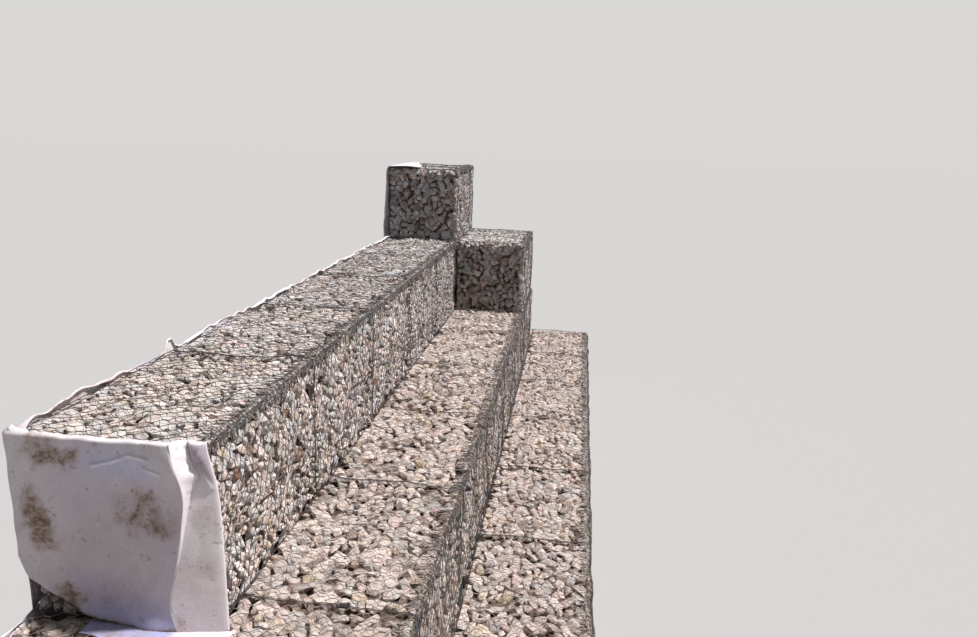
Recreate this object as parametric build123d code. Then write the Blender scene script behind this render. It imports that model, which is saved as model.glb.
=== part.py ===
from build123d import *
import os

# Stepped gabion retaining wall, in millimetres.
# X runs along the wall from its near end to its far end, Y from the stepped front to the back, Z up.
# The origin lies on the underside, at the middle of the base course.

# Sizes of one basket
basket_length = 1500.0
basket_width = 1000.0
basket_height = 1000.0
edge_wire = 5.0
front_bulge = 30.0

# Courses, counted in baskets
base_bays = 8
middle_bays = 7
top_bays = 6
base_rows = 3
middle_rows = 2

# Stagger of the joints from course to course
middle_setback = 388.0
top_setback = 1197.0

# Geotextile
sheet_thickness = 4.0
corner_strip_width = 150.0
corner_cut_radius = 330.0
apron_reach = 300.0
apron_width = 750.0
apron_past_front = 100.0
hem_width = 60.0
raised_hem_width = 400.0

# Places of the courses
base_start = -base_bays * basket_length / 2
middle_start = base_start + middle_setback
top_start = middle_start + top_setback
base_end = base_start + base_bays * basket_length
middle_end = middle_start + middle_bays * basket_length
top_end = top_start + top_bays * basket_length
raised_start = top_end - basket_length
back_face = base_rows * basket_width / 2
base_front = back_face - base_rows * basket_width
middle_front = back_face - middle_rows * basket_width
top_front = back_face - basket_width
middle_floor = basket_height
top_floor = 2 * basket_height
top_lid = 3 * basket_height
raised_lid = 4 * basket_height


def block(x_from, x_to, y_from, y_to, z_from, z_to):
    """A box between six planes."""
    size = Box(x_to - x_from, y_to - y_from, z_to - z_from)
    return Pos((x_from + x_to) / 2, (y_from + y_to) / 2, (z_from + z_to) / 2) * size


def outline(plane, corners, arc_start, arc_middle, arc_end):
    """A face with straight sides through the corners, closed by one arc."""
    sides = Polyline(*[plane.from_local_coords(point) for point in [arc_end, *corners, arc_start]])
    arc = ThreePointArc(*[plane.from_local_coords(point) for point in (arc_start, arc_middle, arc_end)])
    return make_face(sides + arc)


def plain_fill(x_from, y_from, z_from):
    """Stone fill of one basket, inside its edge wires."""
    return block(
        x_from + edge_wire,
        x_from + basket_length - edge_wire,
        y_from + edge_wire,
        y_from + basket_width - edge_wire,
        z_from,
        z_from + basket_height,
    )


def bulged_fill(x_from, y_from, z_from):
    """Stone fill whose front face swells out between its edge wires, in plan and from side to side."""
    left = x_from + edge_wire
    right = x_from + basket_length - edge_wire
    front = y_from + edge_wire
    back = y_from + basket_width - edge_wire
    crown = front - front_bulge
    low = z_from + edge_wire
    lid = z_from + basket_height
    high = lid - edge_wire
    plan = outline(
        Plane.XY.offset(z_from),
        [(left, back), (right, back)],
        (right, front),
        ((left + right) / 2, crown),
        (left, front),
    )
    side = outline(
        Plane.YZ.offset(left),
        [(front, lid), (back, lid), (back, z_from), (front, z_from)],
        (front, low),
        (crown, (low + high) / 2),
        (front, high),
    )
    upright = extrude(plan, amount=basket_height, dir=(0, 0, 1))
    along = extrude(side, amount=right - left, dir=(1, 0, 0))
    return upright & along


def wire_frame(x_from, bays, y_from, z_from):
    """Edge wires of a row of baskets, one solid: four long wires and a ring at every joint."""
    x_to = x_from + bays * basket_length
    y_to = y_from + basket_width
    z_to = z_from + basket_height
    near_sides = [y_from, y_to - edge_wire]
    levels = [z_from, z_to - edge_wire]
    bars = []
    for y in near_sides:
        for z in levels:
            bars.append(block(x_from, x_to, y, y + edge_wire, z, z + edge_wire))
    for joint in range(bays + 1):
        x = x_from + joint * basket_length
        ring_from = max(x - edge_wire, x_from)
        ring_to = min(x + edge_wire, x_to)
        for y in near_sides:
            bars.append(block(ring_from, ring_to, y, y + edge_wire, z_from, z_to))
        for z in levels:
            bars.append(block(ring_from, ring_to, y_from, y_to, z, z + edge_wire))
    return bars[0].fuse(*bars[1:]).clean()


def fills(make_fill, x_from, bays, y_from, z_from):
    """Fills of a row of baskets, side by side."""
    return [make_fill(x_from + bay * basket_length, y_from, z_from) for bay in range(bays)]


def end_sheet():
    """Geotextile on the near end of the top course, its lower back corner rounded off."""
    front = top_front + corner_strip_width
    low_side = back_face - corner_cut_radius
    turn = corner_cut_radius * (1 - 0.5 ** 0.5)
    face = outline(
        Plane.YZ.offset(top_start - sheet_thickness),
        [(back_face, top_lid), (front, top_lid), (front, top_floor)],
        (low_side, top_floor),
        (back_face - turn, top_floor + turn),
        (back_face, top_floor + corner_cut_radius),
    )
    return extrude(face, amount=sheet_thickness, dir=(1, 0, 0))


def corner_strip():
    """Geotextile strip between the end sheet and the front corner of the top course."""
    return block(
        top_start - sheet_thickness,
        top_start,
        top_front,
        top_front + corner_strip_width,
        top_floor,
        top_lid,
    )


def end_apron():
    """Foot of the end sheet, turned out on the bench of the middle course."""
    front = top_front - apron_past_front
    return block(
        top_start - apron_reach,
        top_start - sheet_thickness,
        front,
        front + apron_width,
        top_floor,
        top_floor + sheet_thickness,
    )


def back_sheet(x_from, x_to, z_from):
    """Geotextile on the back of one course."""
    return block(x_from, x_to, back_face, back_face + sheet_thickness, z_from, z_from + basket_height)


def back_hem():
    """Upper edge of the back sheet, folded over the lids up to the raised basket."""
    return block(
        top_start,
        raised_start,
        back_face - hem_width,
        back_face + sheet_thickness,
        top_lid,
        top_lid + sheet_thickness,
    )


def raised_back_sheet():
    """Geotextile on the back of the raised basket, folded over its lid."""
    upright = back_sheet(raised_start, top_end, top_lid)
    fold = block(
        raised_start,
        top_end,
        back_face - raised_hem_width,
        back_face + sheet_thickness,
        raised_lid,
        raised_lid + sheet_thickness,
    )
    return upright.fuse(fold).clean()


nodes = {}

# Front rows, one node a basket
rows = [
    ("top_fill", top_start, top_bays - 1, top_front, top_floor),
    ("middle_front_fill", middle_start, middle_bays, middle_front, middle_floor),
    ("base_front_fill", base_start, base_bays, base_front, 0.0),
]
for name, x_from, bays, y_from, z_from in rows:
    for bay, fill in enumerate(fills(bulged_fill, x_from, bays, y_from, z_from), start=1):
        nodes[f"{name}_{bay}"] = fill

# The last top basket is flat in front, pressed by the basket that stands on the bench
nodes[f"top_fill_{top_bays}"] = plain_fill(raised_start, top_front, top_floor)

# Rows behind the front, one node a row
nodes["middle_back_fills"] = Compound(
    children=fills(plain_fill, middle_start, middle_bays, top_front, middle_floor)
)
nodes["base_middle_fills"] = Compound(
    children=fills(plain_fill, base_start, base_bays, middle_front, 0.0)
)
nodes["base_back_fills"] = Compound(
    children=fills(plain_fill, base_start, base_bays, top_front, 0.0)
)

# Raised baskets over the last bay, on the top course and on the bench before it
nodes["raised_top_fill"] = bulged_fill(raised_start, top_front, top_lid)
nodes["raised_bench_fill"] = bulged_fill(raised_start, middle_front, top_floor)

# Edge wires of each row of baskets
nodes["top_wires"] = wire_frame(top_start, top_bays, top_front, top_floor)
nodes["middle_front_wires"] = wire_frame(middle_start, middle_bays, middle_front, middle_floor)
nodes["middle_back_wires"] = wire_frame(middle_start, middle_bays, top_front, middle_floor)
nodes["base_front_wires"] = wire_frame(base_start, base_bays, base_front, 0.0)
nodes["base_middle_wires"] = wire_frame(base_start, base_bays, middle_front, 0.0)
nodes["base_back_wires"] = wire_frame(base_start, base_bays, top_front, 0.0)
nodes["raised_top_wires"] = wire_frame(raised_start, 1, top_front, top_lid)
nodes["raised_bench_wires"] = wire_frame(raised_start, 1, middle_front, top_floor)

# Geotextile
nodes["end_sheet"] = end_sheet()
nodes["corner_strip"] = corner_strip()
nodes["end_apron"] = end_apron()
nodes["back_sheet_top"] = back_sheet(top_start, top_end, top_floor)
nodes["back_sheet_middle"] = back_sheet(middle_start, middle_end, middle_floor)
nodes["back_sheet_base"] = back_sheet(base_start, base_end, 0.0)
nodes["back_hem"] = back_hem()
nodes["raised_back_sheet"] = raised_back_sheet()

os.makedirs("parts", exist_ok=True)
for name, solid in nodes.items():
    export_step(solid, f"parts/{name}.step")
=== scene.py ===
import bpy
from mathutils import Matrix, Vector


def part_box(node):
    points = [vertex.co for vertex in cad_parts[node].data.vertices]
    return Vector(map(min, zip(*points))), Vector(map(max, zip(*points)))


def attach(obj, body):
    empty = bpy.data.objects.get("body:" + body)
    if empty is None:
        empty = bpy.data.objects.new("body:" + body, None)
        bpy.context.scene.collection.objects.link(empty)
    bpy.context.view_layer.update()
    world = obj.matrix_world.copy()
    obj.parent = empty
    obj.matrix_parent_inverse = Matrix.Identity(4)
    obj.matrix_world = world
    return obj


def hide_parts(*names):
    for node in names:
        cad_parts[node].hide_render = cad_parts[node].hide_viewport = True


bl_info = {
    "name": "Gabion Wall",
    "version": (1, 0, 0),
    "blender": (4, 5, 0),
    "location": "View3D > Sidebar > Gabion",
    "description": "Dresses a stepped gabion retaining wall: stones, wire mesh, lacing and geotextile",
    "category": "Add Mesh",
}

import bpy
import numpy as np
from bpy.props import FloatProperty, FloatVectorProperty, PointerProperty
from mathutils import Matrix

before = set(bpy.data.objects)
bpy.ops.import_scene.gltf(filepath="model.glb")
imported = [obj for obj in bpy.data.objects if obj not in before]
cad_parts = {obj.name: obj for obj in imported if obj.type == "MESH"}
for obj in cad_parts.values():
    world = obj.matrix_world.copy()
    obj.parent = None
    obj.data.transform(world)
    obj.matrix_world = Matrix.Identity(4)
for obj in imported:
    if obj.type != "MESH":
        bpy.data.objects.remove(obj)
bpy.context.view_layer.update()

UP = np.array([0.0, 0.0, 1.0])
ALONG = np.array([1.0, 0.0, 0.0])
OUT = np.array([0.0, -1.0, 0.0])
QUARTER = np.pi / 2
ROOT = "root"


# Rows of baskets, read from the frame

def corners(node):
    """Lowest and highest corner of a node as arrays."""
    low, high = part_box(node)
    return np.array(low), np.array(high)


class Row:
    """Baskets side by side: their wire frame's node, their fills' nodes, and whether their front shows."""

    def __init__(self, name, wires, fills, bays, faced):
        self.name = name
        self.wires = wires
        self.fills = fills
        self.bays = bays
        self.faced = faced
        self.low, self.high = corners(wires)
        self.length = (self.high[0] - self.low[0]) / bays

    def bay(self, index):
        """Where one basket starts and ends along the wall."""
        start = self.low[0] + index * self.length
        return start, start + self.length


def numbered(stem, count):
    """Names of nodes that are counted from 1."""
    return [f"{stem}_{index}" for index in range(1, count + 1)]


ROWS = [
    Row("top", "top_wires", numbered("top_fill", 6), 6, True),
    Row("middle_front", "middle_front_wires", numbered("middle_front_fill", 7), 7, True),
    Row("middle_back", "middle_back_wires", ["middle_back_fills"], 7, False),
    Row("base_front", "base_front_wires", numbered("base_front_fill", 8), 8, True),
    Row("base_middle", "base_middle_wires", ["base_middle_fills"], 8, False),
    Row("base_back", "base_back_wires", ["base_back_fills"], 8, False),
    Row("raised_top", "raised_top_wires", ["raised_top_fill"], 1, True),
    Row("raised_bench", "raised_bench_wires", ["raised_bench_fill"], 1, True),
]
ROW = {row.name: row for row in ROWS}
TOP = ROW["top"]
TOP_LENGTH = TOP.high[0] - TOP.low[0]
OVER_BENCH = TOP.low[2] + 0.1
OVER_LOW_BENCH = ROW["middle_front"].low[2] + 0.1
BACK_FACE = TOP.high[1]


def metres(name, text, value):
    """A size in metres."""
    return FloatProperty(name=name, description=text, default=value, unit="LENGTH")


def ratio(name, text, value):
    """A plain number."""
    return FloatProperty(name=name, description=text, default=value)


def paint(name, text, value):
    """A colour."""
    return FloatVectorProperty(name=name, description=text, default=value, subtype="COLOR")


class WallSizes(bpy.types.PropertyGroup):
    """Sizes of the stones, the wire and the cloth."""

    stone_radius: metres("Stone radius", "Middle radius of the stones", 0.041)
    small_radius: metres("Small stone radius", "Middle radius of the upper baskets' stones", 0.033)
    stone_spread: ratio("Stone spread", "Spread of the stones' radii", 0.30)
    stone_stretch: ratio("Stone stretch", "How much wider apart the stones lie lengthwise", 1.18)
    edge_radius: metres("Edge radius", "Rounding of a basket's front edge", 0.042)
    relief: metres("Relief", "How far the baskets' faces swell and sink", 0.012)
    bulge: metres("Bulge", "Swell of a basket's front", 0.022)
    joint_margin: metres("Joint margin", "Bare strip beside a joint", 0.016)
    core_depth: metres("Core depth", "Depth of the core under the stones", 0.075)
    mesh_lane: metres("Mesh lane", "From one mesh wire to the next", 0.040)
    mesh_twist: metres("Mesh twist", "Length of a double twist", 0.036)
    mesh_slant: metres("Mesh slant", "Length of the slanting part, along the twist", 0.033)
    mesh_wire: metres("Mesh wire", "Diameter of the mesh wire", 0.0043)
    mesh_lift: metres("Mesh lift", "How far the mesh stands off the stones", 0.003)
    edge_wire: metres("Edge wire", "Diameter of the edge wire", 0.0050)
    lace_wire: metres("Lacing wire", "Diameter of the lacing wire", 0.0030)
    lace_pitch: metres("Lacing pitch", "Length of one turn of the lacing", 0.052)
    lace_radius: metres("Lacing radius", "Radius of a turn of the lacing", 0.0085)
    overlap: metres("Overlap", "Width of the lid mesh bent over the front mesh", 0.095)
    cloth: metres("Cloth", "Thickness of the geotextile", 0.003)


class WallColours(bpy.types.PropertyGroup):
    """Colours of the stones, the soil, the wire and the cloth."""

    stone_cream: paint("Cream stone", "Commonest stone", (0.70, 0.600, 0.560))
    stone_grey: paint("Grey stone", "Cool grey stone", (0.57, 0.548, 0.55))
    stone_pink: paint("Pink stone", "Pinkish stone", (0.67, 0.525, 0.490))
    stone_ochre: paint("Ochre stone", "Yellow brown stone", (0.50, 0.39, 0.25))
    stone_rust: paint("Rusty stone", "Red brown stone", (0.28, 0.15, 0.115))
    stone_dark: paint("Dark stone", "Dark grey stone", (0.20, 0.185, 0.19))
    core: paint("Core", "Shaded stone deep in the basket", (0.080, 0.054, 0.045))
    dust: paint("Dust", "Pale dust", (0.77, 0.715, 0.70))
    warm_dust: paint("Warm dust", "Dust of the lower courses", (0.76, 0.655, 0.605))
    cool_dust: paint("Cool dust", "Dust at the far end", (0.715, 0.730, 0.760))
    wire: paint("Wire", "Galvanised wire", (0.125, 0.122, 0.126))
    cloth: paint("Geotextile", "Clean geotextile", (0.92, 0.86, 0.885))
    # Grey of wear and of painted shade on the geotextile.
    wear_and_shade: paint("Worn geotextile", "Grey geotextile", (0.46, 0.402, 0.47))
    # Bluish grey: painted sky-lit shade on the geotextile.
    shaded: paint("Bluish geotextile", "Geotextile greyed to a cooler tone", (0.40, 0.425, 0.68))
    # Soil stains; the same colour also paints shadow lines at the end sheet's foot and the apron's edge.
    soil_and_shade: paint("Soil", "Soil stains on the geotextile", (0.25, 0.150, 0.085))
    floor: paint("Floor", "Studio floor", (0.44, 0.44, 0.44))


# Numbers worked out as whole arrays

def unit(arrows):
    """Vectors divided by their lengths."""
    return arrows / np.linalg.norm(arrows, axis=-1, keepdims=True)


def vectors(x, y, z):
    """Points or directions from their three parts, each an array or a number."""
    return np.stack(np.broadcast_arrays(x, y, z), axis=-1)


def waves(points, wavelength, seed, count=8):
    """Smooth noise of about -1 to 1: a sum of sine waves in random directions, of lengths near one."""
    rng = np.random.default_rng(seed)
    directions = unit(rng.normal(size=(count, 3)))
    lengths = wavelength * rng.uniform(0.6, 1.6, count)
    phases = rng.uniform(0, 2 * np.pi, count)
    angles = points @ (directions / lengths[:, None] * 2 * np.pi).T + phases
    return np.sin(angles).sum(-1) / (count / 2) ** 0.5 * 0.6


def smooth(x, start, end):
    """Rises smoothly from 0 at start to 1 at end."""
    t = np.clip((x - start) / (end - start), 0, 1)
    return t * t * (3 - 2 * t)


def hill(x, middle, width):
    """A bell of height 1 around middle."""
    return np.exp(-(((x - middle) / width) ** 2))


# Meshes

def put_mesh(name, points, faces, attributes=None, second_from=None, rounded=False):
    """A mesh object from points and a list of face arrays, each (number of faces, corners of a face).

    Attributes are one number a point. Faces from second_from on take the second material. The shading
    is flat unless the piece is rounded.
    """
    mesh = bpy.data.meshes.new(name)
    sizes = np.concatenate([np.full(len(group), group.shape[1]) for group in faces])
    loops = np.concatenate([group.ravel() for group in faces])
    mesh.vertices.add(len(points))
    mesh.vertices.foreach_set("co", np.asarray(points, np.float32).ravel())
    mesh.loops.add(len(loops))
    mesh.loops.foreach_set("vertex_index", loops.astype(np.int32))
    mesh.polygons.add(len(sizes))
    starts = np.concatenate([[0], np.cumsum(sizes)[:-1]])
    mesh.polygons.foreach_set("loop_start", starts.astype(np.int32))
    mesh.polygons.foreach_set("loop_total", sizes.astype(np.int32))
    if second_from is not None:
        slots = (np.arange(len(sizes)) >= second_from).astype(np.int32)
        mesh.polygons.foreach_set("material_index", slots)
    for label, values in (attributes or {}).items():
        layer = mesh.attributes.new(label, "FLOAT", "POINT")
        layer.data.foreach_set("value", np.asarray(values, np.float32).ravel())
    mesh.update(calc_edges=True)
    mesh.validate()
    mesh.polygons.foreach_set("use_smooth", np.full(len(mesh.polygons), rounded))
    piece = bpy.data.objects.new(name, mesh)
    bpy.context.scene.collection.objects.link(piece)
    return piece


def place(piece, materials, replaced=()):
    """Gives a piece its materials, and lets it ride on the wall in the nodes' place."""
    for finish in materials:
        piece.data.materials.append(finish)
    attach(piece, ROOT)
    if replaced:
        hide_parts(*replaced)
    return piece


def grid_faces(rows, columns):
    """Quads between the points of a grid that is stored row by row."""
    first = (np.arange(rows - 1)[:, None] * columns + np.arange(columns - 1)).ravel()
    return np.stack([first, first + 1, first + columns + 1, first + columns], axis=1)


def tubes(paths, normals, radius, sides=3):
    """Closed tubes along paths of shape (tubes, points, 3).

    A ring of corners stands square to the path at each point, turned so that its first corner lies along
    the normal, and each end is closed by one face.
    """
    count, length = paths.shape[:2]
    along = unit(np.gradient(paths, axis=1))
    across = unit(np.cross(along, normals))
    upward = np.cross(across, along)
    turn = np.arange(sides) * 2 * np.pi / sides
    rings = (
        paths[:, :, None]
        + radius * np.cos(turn)[:, None] * upward[:, :, None]
        + radius * np.sin(turn)[:, None] * across[:, :, None]
    )
    start = (np.arange(count)[:, None, None] * length + np.arange(length - 1)[:, None]) * sides
    here = start + np.arange(sides)
    beside = start + (np.arange(sides) + 1) % sides
    walls = np.stack([here, here + sides, beside + sides, beside], axis=-1).reshape(-1, 4)
    first = np.arange(count)[:, None] * length * sides + np.arange(sides)
    last = first + (length - 1) * sides
    return rings.reshape(-1, 3), [walls, first, last[:, ::-1]]


def join(parts):
    """Joins (points, faces) pairs: each group of faces is moved past the points before it."""
    points = []
    groups = {}
    offset = 0
    for part_points, part_faces in parts:
        points.append(part_points)
        for group in part_faces:
            groups.setdefault(group.shape[1], []).append(group + offset)
        offset += len(part_points)
    return np.concatenate(points), [np.concatenate(groups[size]) for size in sorted(groups)]


# Faces of a basket

FREE_INSET = 0.004
JOINT_OVERRUN = 0.05
GROUND_REACH = -0.002
COVERED_REACH = 0.03
PROBE_DEPTH = 0.04
PROBE_SLACK = 0.004
PROBE_MARGIN = 0.06
PROBES = 16
BROAD_SWELL = 0.42
FINE_SWELL = 0.16
SWELL_BORDER = 0.10


class Patch:
    """A face that runs from the lid's back edge over a rounded front edge and down the front.

    u runs along the edge and v across it, both in metres. The lid is flat for v up to flat, then comes a
    quarter turn of radius edge, and below it the upright face. Without a height it is a lid alone, and
    without a lid's depth an upright end alone. Stones may reach from ends[0] to ends[1] along u and down
    to lowest along v: they stop short of free ends, and run on past a joint and behind what covers the
    foot.
    """

    def __init__(self, corner, along, out, width, lid_depth, height, radius, sizes, bulge=0.0,
                 margins=(0, 0)):
        self.corner = np.array(corner)
        self.along = along
        self.out = out
        self.width = width
        self.edge = radius if lid_depth and height else 0.0
        self.flat = lid_depth - self.edge
        self.arc = self.edge * QUARTER
        self.face = height - self.edge
        self.height = self.flat + self.arc + self.face
        self.relief = sizes.relief
        self.bulge = bulge
        self.margins = margins
        first_end = -JOINT_OVERRUN if margins[0] else FREE_INSET
        last_end = width + (JOINT_OVERRUN if margins[1] else -FREE_INSET)
        self.ends = (first_end, last_end)
        reach = GROUND_REACH if corner[2] - height < 0.01 else COVERED_REACH
        self.lowest = self.height + reach if height else np.inf

    def at(self, u, v):
        """Point, direction across and outward normal of the face at u and v.

        The face swells and sinks by smooth noise, less near its borders, and a front also bulges: by a
        parabola from side to side times one from top to bottom.
        """
        if self.edge:
            angle = np.clip((v - self.flat) / self.edge, 0, QUARTER)
        else:
            angle = np.full_like(v, 0.0 if self.flat else QUARTER)
        lid = np.minimum(v - self.flat, 0) if self.flat else np.zeros_like(v)
        fall = np.maximum(v - self.flat - self.arc, 0) if self.face else np.zeros_like(v)
        sine = np.sin(angle)[..., None]
        cosine = np.cos(angle)[..., None]
        outward = (lid - self.edge)[..., None] + self.edge * sine
        upward = self.edge * (cosine - 1) - fall[..., None]
        point = self.corner + u[..., None] * self.along + outward * self.out + upward * UP
        normal = sine * self.out + cosine * UP
        down = cosine * self.out - sine * UP
        rise = self.relief * waves(point, BROAD_SWELL, 11)
        rise = rise + 0.35 * self.relief * waves(point, FINE_SWELL, 12)
        edge_rest = smooth(np.minimum(v, self.height - v), 0.0, SWELL_BORDER)
        rise = (rise - 0.5 * self.relief) * (0.25 + 0.75 * edge_rest)
        if self.bulge:
            side = np.clip(u / self.width * (1 - u / self.width) * 4, 0, 1)
            drop = np.clip(fall / self.face, 0, 1)
            rise = rise + self.bulge * side * (4 * drop * (1 - drop))
        return point + rise[..., None] * normal, down, normal


def front_patch(row, bay, sizes):
    """The lid and the front of one basket."""
    start, end = row.bay(bay)
    margins = (sizes.joint_margin * (bay > 0), sizes.joint_margin * (bay < row.bays - 1))
    return Patch(
        (start, row.low[1], row.high[2]), ALONG, OUT, end - start, row.high[1] - row.low[1],
        row.high[2] - row.low[2], sizes.edge_radius, sizes, sizes.bulge, margins)


def lid_patch(row, bay, sizes):
    """The lid of a basket whose front is hidden."""
    start, end = row.bay(bay)
    return Patch(
        (start, row.low[1], row.high[2]), ALONG, OUT, end - start, row.high[1] - row.low[1], 0.0,
        sizes.edge_radius, sizes)


def end_patch(row, sizes, far, width=None, drop=0.0):
    """The upright end of a row, near or far, or its back part of a given width below a given drop."""
    depth = row.high[1] - row.low[1]
    width = width or depth
    if far:
        corner = (row.high[0], row.high[1] - width, row.high[2] - drop)
        return Patch(corner, -OUT, ALONG, width, 0.0, corner[2] - row.low[2], sizes.edge_radius, sizes)
    corner = (row.low[0], row.high[1], row.high[2] - drop)
    return Patch(corner, OUT, -ALONG, width, 0.0, corner[2] - row.low[2], sizes.edge_radius, sizes)


COVERED = [(row.low, row.high) for row in ROWS]


def is_covered(points, normals):
    """Whether points of a face lie against another row of baskets."""
    probe = points + PROBE_DEPTH * normals
    hidden = np.zeros(probe.shape[:-1], bool)
    for low, high in COVERED:
        hidden |= ((probe > low - PROBE_SLACK) & (probe < high + PROBE_SLACK)).all(-1)
    return hidden


def shows(patch):
    """Whether any of a face is free of the other rows."""
    u, v = np.meshgrid(
        np.linspace(PROBE_MARGIN, patch.width - PROBE_MARGIN, PROBES),
        np.linspace(PROBE_MARGIN, patch.height - PROBE_MARGIN, PROBES))
    points, _, normals = patch.at(u, v)
    return not is_covered(points, normals).all()


SHEETED_WIDTH = 0.52
SHEETED_DROP = 0.50


def patches_of(row, sizes):
    """Faces of a row that show, each with the number of its bay."""
    found = []
    for bay in range(row.bays):
        patch = front_patch(row, bay, sizes) if row.faced else lid_patch(row, bay, sizes)
        found.append((bay, patch))
    if row is TOP:
        found.append((0, end_patch(row, sizes, False, SHEETED_WIDTH, SHEETED_DROP)))
    else:
        found.append((0, end_patch(row, sizes, False)))
    found.append((row.bays - 1, end_patch(row, sizes, True)))
    return [(bay, patch) for bay, patch in found if shows(patch)]


# Stones

SETTLING_STEPS = 60
MOST_STONES = 6000
CUTS = 8
INNER_CUTS = 3
FIRST_BAY_FINENESS = 0.90
RADIUS_RANGE = (0.50, 2.1)
FILLING = 0.97
PUSH = 0.35
CORNER_RANGE = (0.86, 1.22)
CORNER_SHAKE = 0.10
CUT_RANGE = (0.38, 0.88)
LENGTH_RANGE = (1.30, 1.95)
WIDTH_RANGE = (1.02, 1.38)
THICKNESS_RANGE = (0.60, 1.00)
TURN_SPREAD = 0.85
LID_TILT = 0.28
FRONT_TILT = 0.50
LEAST_SINK = 0.002
BURIAL_SHAPE = (1.1, 2.6)
PLAIN_TONES = 0.93
GREY_TONES = (0.52, 0.73)
EDGE_SHADE = 0.9
EDGE_BAND = 0.07
PAINTED_FOOT_LIGHT = 1.1
INNER_SIZE = 1.4
JOINT_RIM = 1.0
SIDE_RIM = 0.80
COVERED_RIM = 0.15
FREE_RIM = 0.85
OUTER_DEPTH = (0.0, 0.42)
CUBE_SIDES = np.array([[0, 2, 3, 1], [4, 5, 7, 6], [0, 1, 5, 4], [2, 6, 7, 3], [0, 4, 6, 2], [1, 3, 7, 5]])


def rock_template():
    """Corners and triangles of a cube whose sides each have a raised middle."""
    tips, _ = block_template()
    peaks = np.array([[0, 0, -1], [0, 0, 1], [0, -1, 0], [0, 1, 0], [-1, 0, 0], [1, 0, 0]], float)
    triangles = []
    for number, quad in enumerate(CUBE_SIDES):
        for first, second in zip(quad, np.roll(quad, -1)):
            triangles.append([first, second, 8 + number])
    return np.concatenate([tips, 0.92 * peaks]), np.array(triangles)


def block_template():
    """Corners and triangles of a cube."""
    tips = np.array([[i, j, k] for k in (-1, 1) for j in (-1, 1) for i in (-1, 1)], float) / 3 ** 0.5
    return tips, np.concatenate([CUBE_SIDES[:, [0, 1, 2]], CUBE_SIDES[:, [0, 2, 3]]])


def settle(width, height, radius, rims, sizes, rng):
    """Middles and radii of stones that fill a rectangle.

    Discs of mixed radii are thrown in at random and push each other apart until they lie side by side.
    Rims are how near, in radii, a middle may come to the sides and to the start and the end.
    """
    spread = np.clip(rng.lognormal(0.0, sizes.stone_spread, MOST_STONES), *RADIUS_RANGE)
    radii = radius * spread
    covered = np.cumsum(np.pi * radii ** 2)
    radii = radii[:max(int(np.searchsorted(covered, FILLING * width * height)), 4)]
    span = np.array([width, height])
    middles = rng.uniform(0, 1, (len(radii), 2)) * span
    reach = radii[:, None] + radii
    low = radii[:, None] * rims[:, 0]
    high = span - radii[:, None] * rims[:, 1]
    for _ in range(SETTLING_STEPS):
        apart = middles[:, None] - middles
        distance = np.linalg.norm(apart, axis=-1) + 1e-6
        push = np.clip(reach - distance, 0, None)
        np.fill_diagonal(push, 0)
        middles = middles + PUSH * (apart / distance[..., None] * push[..., None]).sum(1)
        middles = np.clip(middles, low, high)
    return middles, radii


def broken_stones(template, radii, cuts, tilt, rng):
    """Points of broken stones round their middles.

    Each starts as the template with its corners shaken. Random planes cut pieces off: what stands beyond
    a plane is pressed down onto it. The stone is then drawn out to a slab and turned. Tilt is the spread
    of its slope from lying flat.
    """
    count = len(radii)
    points = template * rng.uniform(*CORNER_RANGE, (count, len(template), 1))
    points = points + rng.normal(0, CORNER_SHAKE, points.shape)
    for _ in range(cuts):
        toward = unit(rng.normal(size=(count, 1, 3)))
        level = rng.uniform(*CUT_RANGE, (count, 1))
        beyond = np.clip((points * toward).sum(-1) - level, 0, None)
        points = points - beyond[..., None] * toward
    ranges = (LENGTH_RANGE, WIDTH_RANGE, THICKNESS_RANGE)
    sides = vectors(*[rng.uniform(*limits, count) for limits in ranges])
    points = points * (radii[:, None] * sides)[:, None]
    turn = rng.normal(0, TURN_SPREAD, count)
    heading = vectors(np.cos(turn), np.sin(turn), 0.0)
    slopes = tilt[:, None] * rng.normal(0, 1, (count, 2))
    normal = unit(np.concatenate([slopes, np.ones((count, 1))], axis=-1))
    side = unit(np.cross(normal, heading))
    ahead = np.cross(side, normal)
    turned = points[..., :1] * ahead[:, None] + points[..., 1:2] * side[:, None]
    return turned + points[..., 2:] * normal[:, None]


def patch_rims(patch):
    """Stones keep off a face's sides and free edges, and run on behind an edge with a neighbour."""
    u = np.full(2, patch.width / 2)
    v = np.array([-PROBE_DEPTH, patch.height + PROBE_DEPTH])
    points, _, normals = patch.at(u, v)
    sides = np.where(np.array(patch.margins) > 0, JOINT_RIM, SIDE_RIM)
    return np.stack([sides, np.where(is_covered(points, normals), COVERED_RIM, FREE_RIM)])


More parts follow.
